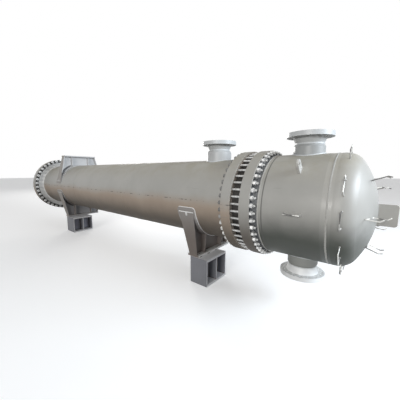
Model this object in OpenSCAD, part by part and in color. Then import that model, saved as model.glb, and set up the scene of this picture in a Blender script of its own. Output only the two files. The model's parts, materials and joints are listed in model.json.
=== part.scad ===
// Horizontal shell and tube heat exchanger on two saddles and two welded stools.
// A two-pass channel with a dished head stands at +X. At -X a wider bolted cover
// closes over the floating end of the tube bundle.
// X runs along the tubes, Y across, Z up. The floor is z = 0 and x = 0 is mid length.

/* [Shell] */
// Outside diameter of the shell
shell_od = 1024; // [1010:1:1032]
// Shell plate thickness
shell_wall = 12; // [8:1:16]
// Tube length, over the outer faces of the two tubesheets
tube_len = 6400; // [6200:10:6900]
// Height of the shell axis above the saddle's underside
saddle_h = 763; // [740:1:800]

/* [Channel and heads] */
// Outside diameter of the channel barrel and its dished head
channel_od = 1080; // [1074:1:1084]
// Channel and head plate thickness
channel_wall = 20; // [14:1:24]
// Length of the channel barrel between its two welds
channel_barrel_len = 582; // [560:1:640]
// Straight edge of the channel head before it starts to curve
head_straight = 48; // [25:1:60]
// Knuckle radius of the channel head
head_knuckle_r = 170; // [150:1:190]
// Crown radius of the channel head
head_crown_r = 864; // [820:1:900]

/* [Girth flanges] */
// How far a front girth flange reaches past its bolt circle
girth_edge = 27.5; // [22:0.5:40]
// Thickness of a front girth flange
girth_thk = 115; // [90:1:130]
// Length of the tapered hub behind a girth flange
girth_hub_len = 60; // [50:1:90]
// How far a shell flange hub stands above the shell where it leaves the flange
shell_hub_rise = 22; // [10:1:30]
// How far the channel flange hub stands above the channel where it leaves the flange
channel_hub_rise = 3; // [2:0.5:8]
// Gap between the wider front hub and the bolt circle
girth_bolt_gap = 27; // [22:1:40]
// Number of bolts in the front girth joint
girth_bolt_count = 48; // [40:4:48]
// Bolt hole diameter of the front girth joint
girth_bolt_hole = 30; // [26:1:32]
// Chamfer round a girth flange rim
girth_chamfer = 4; // [2:1:6]

/* [Rear cover] */
// How far a rear girth flange reaches past its bolt circle
rear_girth_edge = 34; // [26:1:45]
// Thickness of a rear girth flange
rear_girth_thk = 95; // [80:1:110]
// Gap between the cover flange hub and the rear bolt circle
rear_bolt_gap = 53; // [30:1:70]
// Number of bolts in the rear girth joint
rear_bolt_count = 40; // [36:4:44]
// Bolt hole diameter of the rear girth joint
rear_bolt_hole = 33; // [30:1:36]
// Gap between the floating head's bolting ring and the rear cover
cover_gap = 43; // [25:1:60]
// Rear cover plate thickness
cover_wall = 14; // [12:1:18]
// How far the cover flange hub stands above the cover where it leaves the flange
cover_hub_rise = 18; // [8:1:24]
// Straight edge of the cover's head
cover_straight = 60; // [40:1:80]
// Knuckle radius of the cover's head
cover_knuckle_r = 182; // [170:1:200]
// Crown radius of the cover's head
cover_crown_r = 944; // [900:1:980]
// Gap between the rear gasket and the rear bolt circle
cover_gasket_gap = 46; // [40:1:52]
// How far the floating tubesheet's outer face stands past the shell's rear flange
float_out = 195; // [185:1:230]
// Gap between the floating tubesheet and the shell that it is drawn through
float_gap = 10; // [6:1:16]
// Floating tubesheet thickness
float_thk = 70; // [60:1:80]
// How far the floating head's bolting ring and its backing ring reach past the floating tubesheet
float_ring_reach = 43; // [35:1:50]
// Thickness of that bolting ring
float_ring_thk = 60; // [50:1:70]
// Outside radius of the floating head's dome
float_dome_r = 700; // [680:1:760]
// Wall of that dome
float_dome_wall = 16; // [12:1:20]

/* [Tubesheets and tubes] */
// Gap between the front tubesheet and the bolt circle round it
tubesheet_gap = 20; // [18:1:24]
// Front tubesheet thickness
tubesheet_thk = 93; // [70:1:110]
// Gasket thickness
gasket_thk = 4.5; // [3:0.5:6]
// Distance of a front gasket from the tubesheet's rim
gasket_inset = 5; // [2:0.5:8]
// Gasket ring width
gasket_width = 18; // [12:1:20]
// Tube outside diameter
tube_od = 38; // [32:1:44]
// Tube wall
tube_wall = 3; // [2:0.5:4]
// Tube pitch of the triangular layout
tube_pitch = 80; // [74:1:90]
// Distance of the outermost tube centres from the floating tubesheet's rim
tube_edge = 40; // [30:1:70]
// Free lane between the two passes
pass_lane = 90; // [80:1:110]
// How far a tube end stands proud of its tubesheet
tube_proud = 4; // [2:1:8]
// Pass partition plate thickness
partition_thk = 16; // [10:1:20]
// Number of baffles across the tubes
baffle_count = 7; // [5:1:8]
// Baffle thickness
baffle_thk = 10; // [8:1:12]
// Gap between a baffle and the shell
baffle_gap = 4; // [3:0.5:6]
// Drop of a baffle's straight edge from the axis
baffle_cut = 255; // [240:1:280]

/* [Nozzles] */
// Nozzle bore
nozzle_bore = 254; // [240:1:258]
// Pipe diameter at the nozzle's weld
nozzle_pipe_od = 273; // [270:1:276]
// Nozzle flange diameter
nozzle_flange_od = 445; // [440:1:460]
// Nozzle flange thickness with its raised face
nozzle_flange_thk = 48; // [40:1:56]
// Raised face diameter
raised_face_d = 324; // [310:1:335]
// Raised face height
raised_face_h = 3; // [2:0.5:5]
// Height of a welding neck flange from weld to face
nozzle_flange_h = 117; // [105:1:130]
// Hub diameter behind a nozzle flange
nozzle_hub_d = 320; // [300:1:330]
// Bolt circle of a nozzle flange
nozzle_bolt_circle = 387.5; // [380:0.5:395]
// Bolt hole diameter of a nozzle flange
nozzle_bolt_hole = 28.5; // [24:0.5:32]
// Number of bolts in a nozzle flange
nozzle_bolt_count = 16; // [12:4:16]
// Height of the four nozzle faces from the shell axis
nozzle_reach = 755; // [740:1:790]
// Outside diameter of the channel nozzle necks
channel_neck_od = 300; // [290:1:330]
// Outside diameter of the shell nozzle necks
shell_neck_od = 320; // [300:1:340]
// Length of the bevel from a neck down to the pipe size
neck_bevel = 26; // [15:1:30]
// Distance of the channel nozzles from the front tubesheet
channel_nozzle_at = 485; // [460:1:520]
// Distance of the shell inlet behind the front tubesheet's outer face
shell_inlet_at = 627; // [580:1:645]
// Distance of the shell outlet from the floating tubesheet's outer face
shell_outlet_at = 960; // [900:1:1000]
// Side of the square plate below the shell inlet
impingement_side = 320; // [280:1:340]
// Thickness of that plate
impingement_thk = 10; // [6:1:14]
// Drop from the shell's inside to that plate
impingement_drop = 80; // [60:1:85]

/* [Saddles and top bracket] */
// Distance of the front saddle behind the front tubesheet's outer face
front_saddle_at = 780; // [765:1:900]
// Distance of the rear saddle from the floating tubesheet's outer face
rear_saddle_at = 1430; // [1300:10:1600]
// Length of a wear plate along the shell
wear_len = 287; // [270:1:300]
// Wear plate thickness
wear_thk = 12; // [8:1:14]
// Drop of a wear plate's top edge below the axis
wear_edge_drop = 79; // [60:1:100]
// Corner radius of a wear plate
wear_corner_r = 40; // [25:1:50]
// Saddle web thickness
web_thk = 16; // [12:1:24]
// Drop of a saddle's side plates below the axis
side_drop = 138; // [130:1:170]
// Half width of a saddle at its foot
foot_half = 369; // [350:1:390]
// Thickness of the side plates and ribs
rib_thk = 14; // [10:1:18]
// Length along the shell of a side plate at its top
side_len_top = 240; // [220:1:260]
// Length along the shell of a side plate at its foot
side_len_foot = 130; // [110:1:170]
// Distance of an inner rib from the middle
inner_rib_y = 195; // [150:1:230]
// Length of a base plate along the shell
base_len = 184; // [170:1:220]
// Base plate thickness
base_thk = 25; // [16:1:30]
// Anchor hole diameter
anchor_hole = 26; // [20:1:32]
// Anchor hole distance from the middle
anchor_y = 290; // [260:1:320]
// Height of the top bracket's plate above the axis
bracket_h = 750; // [720:1:790]

/* [Stools] */
// Stool height
stool_h = 363; // [320:1:420]
// Length of the front stool along the shell
stool_len = 277; // [240:1:320]
// Length of the rear stool along the shell
rear_stool_len = 400; // [340:1:440]
// Stool depth across the shell
stool_depth = 446; // [430:1:600]
// How far the front stool's middle stands towards the channel from its saddle
stool_shift_x = 95; // [40:1:100]
// How far the stools' middles stand to the near side
stool_shift_y = 152; // [60:1:155]
// Stool cap and foot plate thickness
stool_plate = 30; // [20:1:40]
// Stool web and stiffener thickness
stool_web = 14; // [10:1:20]

/* [Lugs and clips] */
// Distance of the lifting lugs and barrel clips from the front tubesheet
lug_at = 508; // [480:1:530]
// Lifting lug plate thickness
lug_thk = 18; // [14:1:24]
// Lifting lug width
lug_w = 76; // [64:1:90]
// Height of the lifting lug's eye above the barrel
lug_eye_h = 84; // [70:1:100]
// Lifting lug eye diameter
lug_eye_d = 34; // [26:1:40]
// Angle of the lifting lugs from the top
lug_angle = 46; // [35:1:55]
// Height of the flat plate on the middle of the channel head
end_plate_h = 195; // [150:1:230]
// How far that plate stands out from the head
end_plate_reach = 135; // [100:1:160]
// Thickness of that plate
end_plate_thk = 12; // [8:1:16]
// Drop of that plate's middle below the axis
end_plate_drop = 20; // [0:1:60]
// Corner radius of that plate
end_plate_r = 22; // [10:1:40]
// Rod diameter of the insulation clips
clip_rod = 9; // [7:0.5:12]
// Width of an insulation clip across its two legs
clip_w = 134; // [110:1:150]
// Length of the legs on the barrel and knuckle clips
staple_leg = 75; // [60:1:90]
// Length of the legs on the crown clips
crown_leg = 92; // [80:1:110]
// Length of the bent tip on each crown clip leg
clip_tip = 30; // [20:1:40]
// Angle up the knuckle at which its clips stand
knuckle_clip_angle = 18; // [10:1:24]
// Number of clips round the head's crown
crown_clips = 5; // [4:1:7]
// Angle from the head's axis at which the crown clips stand
crown_clip_angle = 21; // [18:1:25]

/* [Hidden] */
$fn = 96;

// Gap between curved faces that seat on each other
seat = 0.3;
// Overshoot of cutting shapes
over = 5;
shell_id = shell_od - 2 * shell_wall;
channel_id = channel_od - 2 * channel_wall;
axis_z = saddle_h + stool_h;

// Front girth joint, outwards from the wider of its two hubs
shell_hub_d = shell_od + 2 * shell_hub_rise;
channel_hub_d = channel_od + 2 * channel_hub_rise;
girth_bolt_circle = max(shell_hub_d, channel_hub_d) + 2 * girth_bolt_gap;
girth_od = girth_bolt_circle + 2 * girth_edge;
tubesheet_od = girth_bolt_circle - 2 * tubesheet_gap;
gasket_od = tubesheet_od - 2 * gasket_inset;

// Floating end and rear girth joint, outwards from the floating tubesheet
float_od = shell_id - 2 * float_gap;
tube_field_r = float_od / 2 - tube_edge;
float_ring_od = float_od + 2 * float_ring_reach;
cover_id = float_ring_od + 2 * cover_gap;
cover_od = cover_id + 2 * cover_wall;
cover_hub_d = cover_od + 2 * cover_hub_rise;
rear_bolt_circle = cover_hub_d + 2 * rear_bolt_gap;
rear_girth_od = rear_bolt_circle + 2 * rear_girth_edge;
cover_gasket_od = rear_bolt_circle - 2 * cover_gasket_gap;
saddle_spacing = tube_len - front_saddle_at - rear_saddle_at;

// Depth of a dished head past its straight edge, from its tangent crown and knuckle arcs
function knuckle_centre(od, k) = od / 2 - k;
function crown_back(od, c, k) = sqrt(pow(c - k, 2) - pow(knuckle_centre(od, k), 2));
function dish_depth(od, c, k) = c - crown_back(od, c, k);
head_depth = dish_depth(channel_od, head_crown_r, head_knuckle_r);
cover_depth = dish_depth(cover_od, cover_crown_r, cover_knuckle_r);

// Stations along the axis, measured from the front tubesheet's outer face
s_channel_weld = gasket_thk + girth_thk + girth_hub_len;
s_head_weld = s_channel_weld + channel_barrel_len;
s_head_curve = s_head_weld + head_straight;
s_head_tip = s_head_curve + head_depth;
s_front_flange = -tubesheet_thk - gasket_thk;
s_shell_front = s_front_flange - girth_thk - girth_hub_len;
s_rear_flange = -tube_len + float_out;
s_shell_rear = s_rear_flange + rear_girth_thk + girth_hub_len;
s_cover_flange = s_rear_flange - gasket_thk;
s_cover_weld = s_cover_flange - rear_girth_thk - girth_hub_len;
s_rear_tip = s_cover_weld - cover_straight - cover_depth;
s_front_saddle = -front_saddle_at;
s_rear_saddle = s_front_saddle - saddle_spacing;
s_shell_outlet = -tube_len + shell_outlet_at;
s_mid = (s_head_tip + end_plate_reach + s_rear_tip) / 2;

// Row position of a station
function at(s) = s - s_mid;

// Places children on the axis at a station, their +Z along +X
module on_axis(s) {
    translate([at(s), 0, axis_z]) rotate([0, 90, 0]) children();
}

// Places children on the axis at a station with the world's own directions
module at_station(s) {
    translate([at(s), 0, axis_z]) children();
}

// Solid round bar along the axis between two stations
module axis_bar(s_from, s_to, d) {
    on_axis(s_from) cylinder(d = d, h = s_to - s_from);
}

// Half section of a dished head: radius across, depth up, straight edge below zero
module dish_section(od, c, k, straight) {
    kc = knuckle_centre(od, k);
    back = crown_back(od, c, k);
    reach = 2 * c;
    translate([0, -straight]) square([od / 2, straight]);
    intersection() {
        translate([kc, 0]) circle(r = k);
        square([od / 2, k]);
    }
    intersection() {
        translate([0, -back]) circle(r = c);
        polygon([[0, -back], [0, reach - back], [reach * kc / back, reach - back]]);
        square([od / 2, c]);
    }
}

// Dished head, closed end towards +Z, weld edge at z = 0
module dished_head(od, wall, c, k, straight) {
    rotate_extrude() translate([0, straight]) difference() {
        dish_section(od, c, k, straight);
        translate([0, -straight - over]) square([od / 2 - wall, straight + over]);
        dish_section(od - 2 * wall, c - wall, k - wall, straight);
    }
}

// Welding neck girth flange, gasket face at z = 0, tapered hub towards +Z
module girth_flange(pipe_od, bore, hub_d, od, thk, bolt_circle, bolt_hole, bolts) {
    weld = thk + girth_hub_len;
    difference() {
        rotate_extrude() polygon([
            [bore / 2, 0],
            [od / 2 - girth_chamfer, 0],
            [od / 2, girth_chamfer],
            [od / 2, thk - girth_chamfer],
            [od / 2 - girth_chamfer, thk],
            [hub_d / 2, thk],
            [pipe_od / 2, weld],
            [bore / 2, weld]]);
        for (i = [0 : bolts - 1])
            rotate((i + 0.5) * 360 / bolts)
                translate([bolt_circle / 2, 0, -over])
                    cylinder(d = bolt_hole, h = thk + 2 * over, $fn = 32);
    }
}

module front_girth_flange(pipe_od, bore, hub_d) {
    girth_flange(pipe_od, bore, hub_d, girth_od, girth_thk,
        girth_bolt_circle, girth_bolt_hole, girth_bolt_count);
}

module rear_girth_flange(pipe_od, bore, hub_d) {
    girth_flange(pipe_od, bore, hub_d, rear_girth_od, rear_girth_thk,
        rear_bolt_circle, rear_bolt_hole, rear_bolt_count);
}

// Bolted nozzle flange with hub and raised face, weld end at z = 0
module nozzle_flange() {
    back = nozzle_flange_h - nozzle_flange_thk;
    rim = nozzle_flange_h - raised_face_h;
    land = (nozzle_hub_d - nozzle_pipe_od) / 4;
    difference() {
        rotate_extrude() polygon([
            [nozzle_bore / 2, 0],
            [nozzle_pipe_od / 2, 0],
            [nozzle_pipe_od / 2, land],
            [nozzle_hub_d / 2, back],
            [nozzle_flange_od / 2, back],
            [nozzle_flange_od / 2, rim],
            [raised_face_d / 2, rim],
            [raised_face_d / 2, nozzle_flange_h],
            [nozzle_bore / 2, nozzle_flange_h]]);
        for (i = [0 : nozzle_bolt_count - 1])
            rotate((i + 0.5) * 360 / nozzle_bolt_count)
                translate([nozzle_bolt_circle / 2, 0, back - over])
                    cylinder(d = nozzle_bolt_hole, h = nozzle_flange_thk + 2 * over, $fn = 32);
    }
}

// Nozzle neck let into a barrel, flush inside, bevelled to the pipe size at its weld
module nozzle_neck(neck_od, barrel_id) {
    weld = nozzle_reach - nozzle_flange_h;
    difference() {
        rotate_extrude() polygon([
            [nozzle_bore / 2, 0],
            [neck_od / 2, 0],
            [neck_od / 2, weld - neck_bevel],
            [nozzle_pipe_od / 2, weld],
            [nozzle_bore / 2, weld]]);
        translate([-neck_od, 0, 0]) rotate([0, 90, 0]) cylinder(d = barrel_id, h = 2 * neck_od);
    }
}

// Neck hole through a barrel wall
module neck_hole(s, neck_od, up) {
    at_station(s) mirror([0, 0, up ? 0 : 1]) cylinder(d = neck_od + 2 * seat, h = channel_od);
}

// Centres of the tubes on a triangular pitch, clear of the pass lane and the plate under the inlet
tube_row_gap = tube_pitch * sqrt(3) / 2;
tube_rows = floor(tube_field_r / tube_row_gap) + 1;
tube_cols = floor(tube_field_r / tube_pitch) + 1;
tube_top = shell_id / 2 - impingement_drop - impingement_thk - tube_od / 2;
tube_centres = [
    for (side = [-1, 1]) for (r = [0 : tube_rows]) for (c = [-tube_cols : tube_cols])
        let (y = (c + (r % 2) / 2) * tube_pitch, z = side * (pass_lane / 2 + tube_od / 2 + r * tube_row_gap))
            if (norm([y, z]) <= tube_field_r && z < tube_top - 1) [y, z]];

module tube_places() {
    for (p = tube_centres) translate([0, p[0], p[1]]) rotate([0, 90, 0]) children();
}

// Holes for every tube between two stations
module tube_holes(s_from, s_to) {
    at_station(s_from - over) tube_places()
        cylinder(d = tube_od + 2 * seat, h = s_to - s_from + 2 * over, $fn = 32);
}

module tubesheet(s_from, s_to, od) {
    difference() {
        axis_bar(s_from, s_to, od);
        tube_holes(s_from, s_to);
    }
}

module gasket_ring(s, od) {
    on_axis(s) difference() {
        cylinder(d = od, h = gasket_thk);
        translate([0, 0, -over]) cylinder(d = od - 2 * gasket_width, h = gasket_thk + 2 * over);
    }
}

// Round plate across the tubes with its top or bottom cut away
module baffle(s, cut_top) {
    r = shell_id / 2 - baffle_gap;
    difference() {
        axis_bar(s, s + baffle_thk, 2 * r);
        tube_holes(s, s + baffle_thk);
        at_station(s) mirror([0, 0, cut_top ? 0 : 1]) translate([-over, -r, baffle_cut])
            cube([baffle_thk + 2 * over, 2 * r, r]);
    }
}

// Wear plate wrapped under the shell: open top edge, rounded corners
module wear_plate_body() {
    wear_r = shell_od / 2 + seat;
    depth = wear_r + wear_thk;
    r = wear_corner_r;
    intersection() {
        translate([-wear_len / 2, 0, 0]) rotate([0, 90, 0]) difference() {
            cylinder(r = wear_r + wear_thk, h = wear_len);
            translate([0, 0, -over]) cylinder(r = wear_r, h = wear_len + 2 * over);
        }
        translate([0, depth + over, -wear_edge_drop]) rotate([90, 0, 0])
            linear_extrude(2 * (depth + over)) union() {
                for (x = [-1, 1]) translate([x * (wear_len / 2 - r), -r]) circle(r = r, $fn = 48);
                translate([r - wear_len / 2, -depth]) square([wear_len - 2 * r, depth]);
                translate([-wear_len / 2, -depth]) square([wear_len, depth - r]);
            }
    }
}

// Outside radius that the saddle plates are cut to
saddle_r = shell_od / 2 + wear_thk + 2 * seat;
// Where the side plates meet the wear plate
side_top_half = sqrt(pow(saddle_r, 2) - pow(side_drop, 2));

// Saddle outline across the shell down to a foot, without its curved seat
module saddle_outline(foot, inset) {
    polygon([
        [-side_top_half + inset, -side_drop],
        [side_top_half - inset, -side_drop],
        [foot_half - inset, -foot],
        [inset - foot_half, -foot]]);
}

// Sidelong outline of a side plate or rib, length along the shell against drop
module rib_outline(foot) {
    polygon([
        [-side_len_top / 2, -side_drop],
        [side_len_top / 2, -side_drop],
        [side_len_foot / 2, -foot],
        [-side_len_foot / 2, -foot]]);
}

// Removes the room that the shell and wear plate need
module seat_cut(half_len) {
    translate([-half_len, 0, 0]) rotate([0, 90, 0]) cylinder(r = saddle_r, h = 2 * half_len);
}

// Thickness of a leaning side plate, measured level
lean = atan2(side_top_half - foot_half, saddle_h - side_drop);
side_level_thk = rib_thk / cos(lean);

module saddle_web(foot) {
    difference() {
        translate([-web_thk / 2, 0, 0]) rotate([90, 0, 90]) linear_extrude(web_thk)
            saddle_outline(foot, side_level_thk);
        seat_cut(web_thk);
    }
}

// Two leaning side plates and four inner ribs
module saddle_ribs(foot) {
    difference() {
        union() {
            intersection() {
                translate([0, side_top_half + over, 0]) rotate([90, 0, 0])
                    linear_extrude(2 * (side_top_half + over)) rib_outline(foot);
                translate([-side_len_top, 0, 0]) rotate([90, 0, 90]) linear_extrude(2 * side_len_top)
                    difference() {
                        saddle_outline(foot, 0);
                        saddle_outline(foot, side_level_thk);
                    }
            }
            for (y = [-inner_rib_y, inner_rib_y]) translate([0, y + rib_thk / 2, 0])
                rotate([90, 0, 0]) linear_extrude(rib_thk) difference() {
                    rib_outline(foot);
                    translate([-web_thk / 2, -foot - over]) square([web_thk, foot]);
                }
        }
        seat_cut(side_len_top);
    }
}

// Foot plate of a saddle with its two anchor holes, top face at the given drop
module saddle_foot(drop) {
    translate([0, 0, -drop - base_thk]) difference() {
        translate([-base_len / 2, -foot_half, 0]) cube([base_len, 2 * foot_half, base_thk]);
        for (y = [-anchor_y, anchor_y]) translate([0, y, -over]) anchor_bores();
    }
}

// Anchor holes stand beside the web, one on each side of it
module anchor_bores() {
    for (x = [-1, 1]) translate([x * base_len / 4, 0, 0])
        cylinder(d = anchor_hole, h = base_thk + 2 * over, $fn = 32);
}

// Welded stool: cap, foot, web along the depth, two end plates and a middle stiffener.
// Its end towards -X keeps the same distance from the saddle, whatever its length.
module stool(s, len) {
    half = stool_depth / 2;
    inner_h = stool_h - 2 * stool_plate;
    back = stool_shift_x - stool_len / 2;
    translate([at(s) + back, -stool_shift_y, 0]) {
        for (z = [0, stool_h - stool_plate]) translate([0, -half, z])
            cube([len, stool_depth, stool_plate]);
        translate([(len - stool_web) / 2, -half, stool_plate]) cube([stool_web, stool_depth, inner_h]);
        for (y = [-half, -stool_web / 2, half - stool_web]) translate([0, y, stool_plate])
            cube([len, stool_web, inner_h]);
    }
}

// Eye plate standing on the barrel, root cut to the barrel, +Z outwards
module lug_plate() {
    barrel_r = channel_od / 2;
    difference() {
        translate([lug_thk / 2, 0, 0]) rotate([90, 0, -90]) linear_extrude(lug_thk) difference() {
            union() {
                translate([0, barrel_r + lug_eye_h]) circle(d = lug_w);
                translate([-lug_w / 2, 0]) square([lug_w, barrel_r + lug_eye_h]);
            }
            translate([0, barrel_r + lug_eye_h]) circle(d = lug_eye_d);
        }
        translate([-lug_thk, 0, 0]) rotate([0, 90, 0]) cylinder(r = barrel_r + seat, h = 2 * lug_thk);
    }
}

// Straight round rod from one point to another
module rod(a, b) {
    v = b - a;
    translate(a) rotate([0, acos(v[2] / norm(v)), atan2(v[1], v[0])])
        cylinder(d = clip_rod, h = norm(v), $fn = 24);
}

// Insulation clip as a staple: two legs standing on the surface, a bar along Y across their ends
module staple(foot_z) {
    for (y = [-1, 1]) {
        foot = [0, y * clip_w / 2, foot_z];
        top = [0, y * clip_w / 2, staple_leg];
        rod(foot, top);
        translate(top) sphere(d = clip_rod, $fn = 24);
    }
    rod([0, -clip_w / 2, staple_leg], [0, clip_w / 2, staple_leg]);
}

// Insulation clip lying on the surface: a bar along Y, two legs along +Z, tips bent towards +X
module open_clip() {
    lie = clip_rod / 2 + seat;
    for (y = [-1, 1]) {
        foot = [0, y * clip_w / 2, lie];
        knee = [0, y * clip_w / 2, lie + crown_leg];
        tip = knee + clip_tip * [0.6, 0, 0.8];
        rod(foot, knee);
        rod(knee, tip);
        translate(foot) sphere(d = clip_rod, $fn = 24);
        translate(knee) sphere(d = clip_rod, $fn = 24);
    }
    rod([0, -clip_w / 2, lie], [0, clip_w / 2, lie]);
}

// Angles of the knuckle clips round the head, from the top towards the near side
knuckle_clip_at = [20, 63, 91, 124, 156, 188, 220, 252, 284, 318];

// Height at which a staple's feet just clear a round surface that also leans away from them
function foot_rise(r, lean) = sqrt(r * r - clip_w * clip_w / 4) - r
    + clip_rod / 2 * (tan(lean) + clip_w / 2 / r) + seat;

module shell() {
    color("gainsboro") difference() {
        axis_bar(s_shell_rear, s_shell_front, shell_od);
        axis_bar(s_shell_rear - over, s_shell_front + over, shell_id);
        neck_hole(-shell_inlet_at, shell_neck_od, true);
        neck_hole(s_shell_outlet, shell_neck_od, false);
    }
}

module shell_front_flange() {
    color("gainsboro") on_axis(s_front_flange) mirror([0, 0, 1])
        front_girth_flange(shell_od, shell_id, shell_hub_d);
}

module shell_rear_flange() {
    color("gainsboro") on_axis(s_rear_flange) rear_girth_flange(shell_od, shell_id, shell_hub_d);
}

module front_tubesheet() {
    color("darkgray") tubesheet(-tubesheet_thk, 0, tubesheet_od);
}

module floating_tubesheet() {
    color("darkgray") tubesheet(-tube_len, float_thk - tube_len, float_od);
}

module front_gaskets() {
    color("dimgray") {
        gasket_ring(0, gasket_od);
        gasket_ring(s_front_flange, gasket_od);
    }
}

module rear_gasket() {
    color("dimgray") gasket_ring(s_cover_flange, cover_gasket_od);
}

module channel_flange() {
    color("gainsboro") on_axis(gasket_thk) front_girth_flange(channel_od, channel_id, channel_hub_d);
}

module channel_barrel() {
    color("gainsboro") difference() {
        axis_bar(s_channel_weld, s_head_weld, channel_od);
        axis_bar(s_channel_weld - over, s_head_weld + over, channel_id);
        neck_hole(channel_nozzle_at, channel_neck_od, true);
        neck_hole(channel_nozzle_at, channel_neck_od, false);
    }
}

module channel_head() {
    color("gainsboro") on_axis(s_head_weld)
        dished_head(channel_od, channel_wall, head_crown_r, head_knuckle_r, head_straight);
}

module cover_flange() {
    color("gainsboro") on_axis(s_cover_flange) mirror([0, 0, 1])
        rear_girth_flange(cover_od, cover_id, cover_hub_d);
}

module cover_head() {
    color("gainsboro") on_axis(s_cover_weld) mirror([0, 0, 1])
        dished_head(cover_od, cover_wall, cover_crown_r, cover_knuckle_r, cover_straight);
}

// Domed head on the floating tubesheet: it turns the tube side flow back inside the cover
module floating_head() {
    ring_r = tube_field_r + tube_od / 2 + over;
    root_r = ring_r + float_dome_wall;
    centre = float_ring_thk - over - sqrt(pow(float_dome_r, 2) - pow(root_r, 2));
    color("darkgray") on_axis(-tube_len) mirror([0, 0, 1]) rotate_extrude() {
        translate([ring_r, 0]) square([float_ring_od / 2 - ring_r, float_ring_thk]);
        intersection() {
            translate([0, centre]) difference() {
                circle(r = float_dome_r);
                circle(r = float_dome_r - float_dome_wall);
            }
            square([root_r, float_dome_r]);
        }
    }
}

// Ring behind the floating tubesheet that takes the floating head's bolts
module backing_ring() {
    color("darkgray") on_axis(-tube_len) difference() {
        cylinder(d = float_ring_od, h = float_ring_thk);
        translate([0, 0, -over]) cylinder(d = float_od + 2 * seat, h = float_ring_thk + 2 * over);
    }
}

module tubes() {
    color("silver") at_station(-tube_len - tube_proud) tube_places() linear_extrude(tube_len + 2 * tube_proud)
        difference() {
            circle(d = tube_od, $fn = 32);
            circle(d = tube_od - 2 * tube_wall, $fn = 32);
        }
}

// Baffles, evenly spaced between the two shell nozzles, cut away at top and bottom in turn
module baffles() {
    first = -shell_inlet_at - impingement_side;
    last = s_shell_outlet + nozzle_flange_od;
    color("darkgray") for (i = [0 : baffle_count - 1])
        baffle(first + i * (last - first) / (baffle_count - 1), i % 2 == 1);
}

// Level plate that parts the two passes, from the tubesheet into the head
module pass_partition() {
    half = channel_id / 2 - 2 * seat;
    color("darkgray") translate([0, 0, axis_z - partition_thk / 2]) linear_extrude(partition_thk) union() {
        translate([at(seat), -half]) square([s_head_curve - seat, 2 * half]);
        for (side = [0, 1]) translate([at(s_head_curve), 0]) mirror([0, side]) rotate(-90)
            dish_section(2 * half, head_crown_r - channel_wall - 2 * seat,
                head_knuckle_r - channel_wall - 2 * seat, head_straight);
    }
}

// Plate that shields the tubes below the shell inlet, on four round legs from the shell
module impingement_plate() {
    low = shell_id / 2 - impingement_drop - impingement_thk;
    leg_at = impingement_side / 2 - tube_od / 2;
    color("darkgray") at_station(-shell_inlet_at) intersection() {
        union() {
            translate([-impingement_side / 2, -impingement_side / 2, low])
                cube([impingement_side, impingement_side, impingement_thk]);
            for (x = [-leg_at, leg_at]) for (y = [-leg_at, leg_at]) translate([x, y, low])
                cylinder(d = tube_od / 2, h = shell_wall + impingement_drop + impingement_thk, $fn = 32);
        }
        translate([-impingement_side, 0, 0]) rotate([0, 90, 0])
            cylinder(d = shell_id - 2 * seat, h = 2 * impingement_side);
    }
}

module neck_at(s, neck_od, barrel_id, up) {
    color("whitesmoke") at_station(s) mirror([0, 0, up ? 0 : 1]) nozzle_neck(neck_od, barrel_id);
}

module flange_at(s, up) {
    color("whitesmoke") at_station(s) mirror([0, 0, up ? 0 : 1])
        translate([0, 0, nozzle_reach - nozzle_flange_h]) nozzle_flange();
}

module shell_inlet_neck() {
    neck_at(-shell_inlet_at, shell_neck_od, shell_id, true);
}

module shell_inlet_flange() {
    flange_at(-shell_inlet_at, true);
}

module shell_outlet_neck() {
    neck_at(s_shell_outlet, shell_neck_od, shell_id, false);
}

module shell_outlet_flange() {
    flange_at(s_shell_outlet, false);
}

module channel_inlet_neck() {
    neck_at(channel_nozzle_at, channel_neck_od, channel_id, true);
}

module channel_inlet_flange() {
    flange_at(channel_nozzle_at, true);
}

module channel_outlet_neck() {
    neck_at(channel_nozzle_at, channel_neck_od, channel_id, false);
}

module channel_outlet_flange() {
    flange_at(channel_nozzle_at, false);
}

module front_wear_plate() {
    color("lightsteelblue") at_station(s_front_saddle) wear_plate_body();
}

module front_saddle_web() {
    color("lightsteelblue") at_station(s_front_saddle) saddle_web(saddle_h - base_thk);
}

module front_saddle_ribs() {
    color("lightsteelblue") at_station(s_front_saddle) saddle_ribs(saddle_h - base_thk);
}

module front_base_plate() {
    color("lightsteelblue") at_station(s_front_saddle) saddle_foot(saddle_h - base_thk);
}

module front_stool() {
    color("lightslategray") stool(s_front_saddle, stool_len);
}

module rear_wear_plate() {
    color("lightsteelblue") at_station(s_rear_saddle) wear_plate_body();
}

module rear_saddle_web() {
    color("lightsteelblue") at_station(s_rear_saddle) saddle_web(saddle_h - base_thk);
}

module rear_saddle_ribs() {
    color("lightsteelblue") at_station(s_rear_saddle) saddle_ribs(saddle_h - base_thk);
}

module rear_base_plate() {
    color("lightsteelblue") at_station(s_rear_saddle) saddle_foot(saddle_h - base_thk);
}

module rear_stool() {
    color("lightslategray") stool(s_rear_saddle, rear_stool_len);
}

// The top bracket is a saddle turned over, above the rear saddle
module upturned() {
    color("lightsteelblue") at_station(s_rear_saddle) mirror([0, 0, 1]) children();
}

module bracket_wear_plate() {
    upturned() wear_plate_body();
}

module bracket_web() {
    upturned() saddle_web(bracket_h - base_thk);
}

module bracket_ribs() {
    upturned() saddle_ribs(bracket_h - base_thk);
}

module bracket_plate() {
    upturned() saddle_foot(bracket_h - base_thk);
}

module lifting_lugs() {
    color("gainsboro") for (side = [-1, 1]) at_station(lug_at) rotate([side * lug_angle, 0, 0]) lug_plate();
}

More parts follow.
